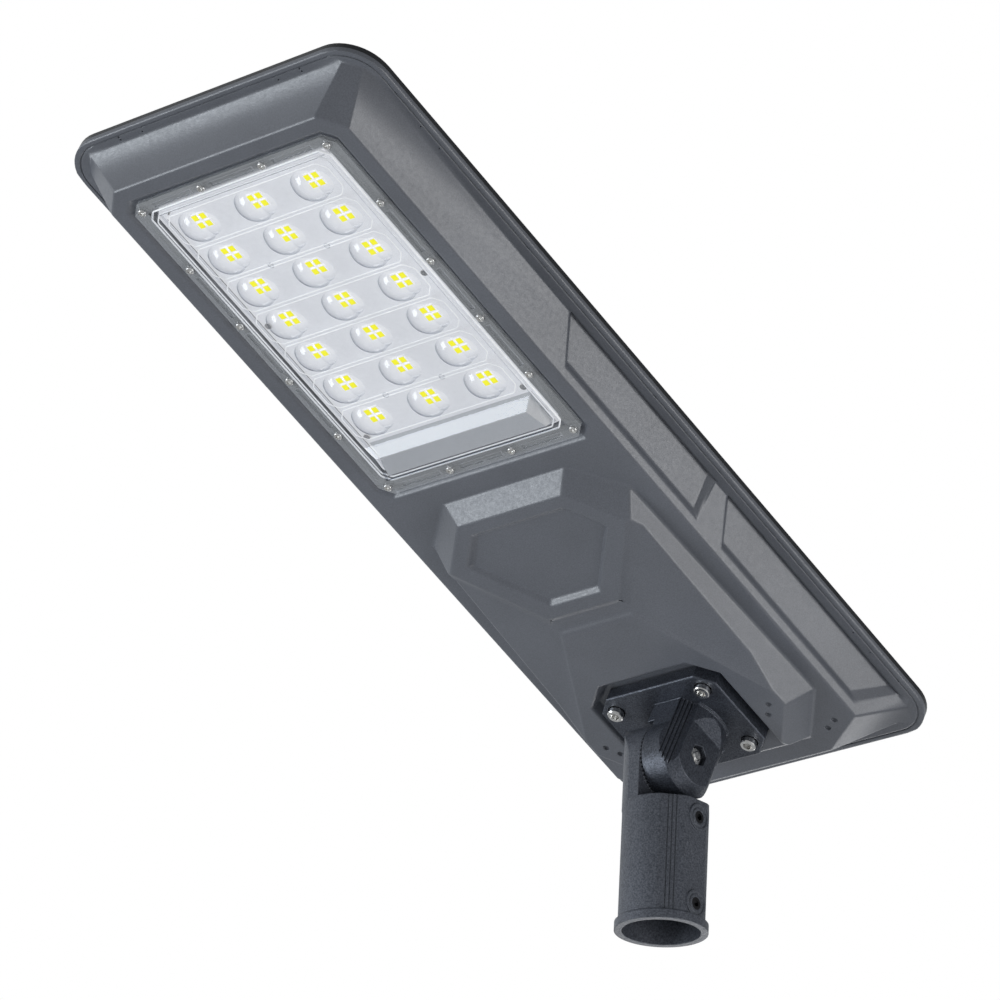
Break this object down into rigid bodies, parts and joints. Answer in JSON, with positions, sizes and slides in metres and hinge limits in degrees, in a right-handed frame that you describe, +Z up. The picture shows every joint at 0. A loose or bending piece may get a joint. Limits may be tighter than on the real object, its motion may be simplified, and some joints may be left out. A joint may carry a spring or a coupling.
{
  "type": "solar street lamp",
  "caption": "Flat solar street lamp head with a lensed LED window, faceted battery housing and a toothed tilt bracket that slips over a pole.",
  "frame": {"origin": "centre of the pole socket's mouth, on the pole's axis", "axes": "+Z up the pole, +X along the tilt hinge towards its nut, the LED end of the head towards -Y"},
  "size_m": [0.317, 0.7041, 0.5106],
  "materials": {
    "housing": "moulded, fine spark-eroded texture, satin",
    "frame": "moulded, satin",
    "glass": "tempered, clear",
    "cells": "dark blue-black silicon",
    "backsheet": "white film",
    "gasket": "silicone rubber",
    "lens": "clear polycarbonate, polished",
    "led_board": "white solder mask",
    "led_chip": "yellow phosphor",
    "sink": "plain extruded",
    "steel": "stainless, bright",
    "white_plastic": "moulded, frosted",
    "cell_wrap": "blue shrink-wrapped cell",
    "tray": "moulded",
    "strap": "woven nylon",
    "board": "green solder mask",
    "component": "black moulded",
    "cable": "silicone sheath",
    "bracket": "die-cast, textured dark powder coat",
    "plated": "zinc plated",
    "screw_black": "black oxide"
  },
  "bodies": {
    "socket": {"pole_socket": "bracket"},
    "head": {"lower_housing": "housing", "panel_frame": "frame", "panel_gasket": "gasket", "panel_backsheet": "backsheet", "solar_cells": "cells", "solar_glass": "glass", "frame_screws": "screw_black", "panel_junction": "component", "lens_cover": "lens", "lens_gasket": "gasket", "lens_screws": "steel", "led_board": "led_board", "led_chips": "led_chip", "board_screws": "steel", "heat_sink": "sink", "heat_sink_screws": "steel", "terminal_cover": "white_plastic", "battery_cells": "cell_wrap", "battery_tray": "tray", "battery_straps": "strap", "controller_board": "board", "controller_parts": "component", "radar_sensor": "board", "panel_lead": "cable", "battery_lead": "cable", "led_lead": "cable", "bracket_gasket": "gasket", "mounting_plate": "bracket", "plate_bolts": "steel", "backing_plate": "plated", "plate_nuts": "plated", "hinge_nut": "steel", "hinge_washer": "steel", "hinge_bolt": "steel"},
    "lower_screw": {"set_screw_lower": "screw_black"},
    "upper_screw": {"set_screw_upper": "screw_black"}
  },
  "joints": [
    {"name": "head_tilt", "type": "hinge", "parent": "socket", "child": "head", "pos_m": [0, 0, 0.14], "axis": [-1, 0, 0], "range_deg": [-66, 30]},
    {"name": "lower_screw_travel", "type": "slide", "parent": "socket", "child": "lower_screw", "axis": [-1, 0, 0], "range_m": [0, 0.004]},
    {"name": "upper_screw_travel", "type": "slide", "parent": "socket", "child": "upper_screw", "axis": [-1, 0, 0], "range_m": [0, 0.004]}
  ]
}
